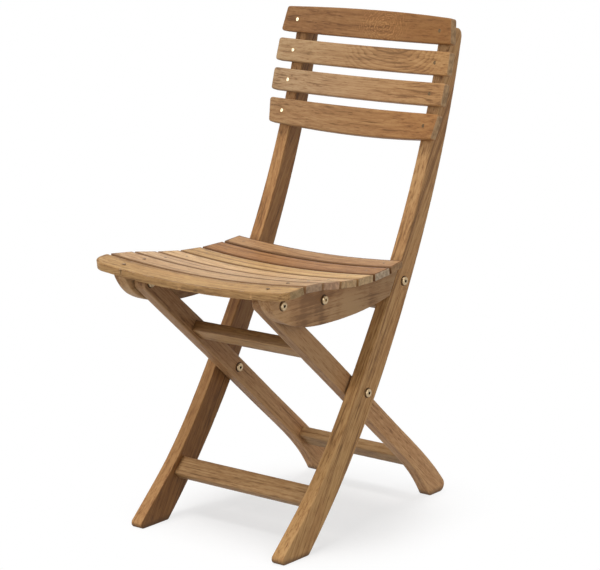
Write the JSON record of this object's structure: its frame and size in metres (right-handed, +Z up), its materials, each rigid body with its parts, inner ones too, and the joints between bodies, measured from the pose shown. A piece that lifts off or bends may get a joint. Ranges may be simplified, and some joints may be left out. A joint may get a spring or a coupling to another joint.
{
  "type": "folding side chair",
  "caption": "Wooden folding side chair with a hollow slatted back, a dished slatted seat and crossed legs on brass pivots; the seat swings up as the legs close.",
  "frame": {"origin": "on the floor, under the middle of the chair (centre of the bounding box of the open chair)", "axes": "+Z up, -Y is the way the sitter faces, +X is the sitter's left; the chair is symmetric about x = 0"},
  "size_m": [0.4282, 0.5416, 0.8616],
  "materials": {
    "front_slat": "oiled teak, satin",
    "pale_slat": "oiled teak, satin",
    "yellow_slat": "oiled teak, satin",
    "red_slat": "oiled teak, satin",
    "top_slat": "oiled teak, satin",
    "back_slat": "oiled teak, satin",
    "rail": "oiled teak, satin",
    "leg": "oiled teak, satin",
    "stretcher": "oiled teak, satin",
    "brass": "satin brass, slightly dulled"
  },
  "bodies": {
    "back_frame": {"back_screw_1_left": "brass", "back_screw_1_right": "brass", "back_screw_2_left": "brass", "back_screw_2_right": "brass", "back_screw_3_left": "brass", "back_screw_3_right": "brass", "back_screw_4_left": "brass", "back_screw_4_right": "brass", "back_slat_1": "top_slat", "back_slat_2": "back_slat", "back_slat_3": "back_slat", "back_slat_4": "back_slat", "cross_bolt_left": "brass", "cross_bolt_right": "brass", "cross_spacer_left": "brass", "cross_spacer_right": "brass", "front_stretcher": "stretcher", "link_back_bolt_left": "brass", "link_back_bolt_right": "brass", "long_rail_left": "rail", "long_rail_right": "rail", "seat_stretcher": "stretcher"},
    "rear_legs": {"rear_leg_left": "leg", "rear_leg_right": "leg", "rear_leg_stretcher_lower": "stretcher", "rear_leg_stretcher_upper": "stretcher"},
    "seat": {"link_seat_bolt_left": "brass", "link_seat_bolt_right": "brass", "seat_bolt_left": "brass", "seat_bolt_right": "brass", "seat_rail_left": "rail", "seat_rail_right": "rail", "seat_screw_1_left": "brass", "seat_screw_1_right": "brass", "seat_screw_2_left": "brass", "seat_screw_2_right": "brass", "seat_screw_3_left": "brass", "seat_screw_3_right": "brass", "seat_screw_4_left": "brass", "seat_screw_4_right": "brass", "seat_screw_5_left": "brass", "seat_screw_5_right": "brass", "seat_screw_6_left": "brass", "seat_screw_6_right": "brass", "seat_screw_7_left": "brass", "seat_screw_7_right": "brass", "seat_slat_1": "front_slat", "seat_slat_2": "pale_slat", "seat_slat_3": "pale_slat", "seat_slat_4": "pale_slat", "seat_slat_5": "yellow_slat", "seat_slat_6": "red_slat", "seat_slat_7": "red_slat", "seat_spacer_left": "brass", "seat_spacer_right": "brass"},
    "links": {"link_back_stud_left": "brass", "link_back_stud_right": "brass", "link_left": "brass", "link_right": "brass"}
  },
  "joints": [
    {"name": "leg_fold", "type": "hinge", "parent": "back_frame", "child": "rear_legs", "pos_m": [0, 0.0008, 0.2452], "axis": [-1, 0, 0], "range_deg": [0, 55]},
    {"name": "seat_swing", "type": "hinge", "parent": "rear_legs", "child": "seat", "pos_m": [0, -0.225, 0.4384], "axis": [1, 0, 0], "range_deg": [0, 128.1]},
    {"name": "link_swing", "type": "hinge", "parent": "seat", "child": "links", "pos_m": [0, -0.1177, 0.4288], "axis": [-1, 0, 0], "range_deg": [0, 152.39]}
  ],
  "couplings": [
    {"joint": "seat_swing", "follows": "leg_fold", "ratio": 2.32},
    {"joint": "link_swing", "follows": "leg_fold", "ratio": 2.7616}
  ]
}
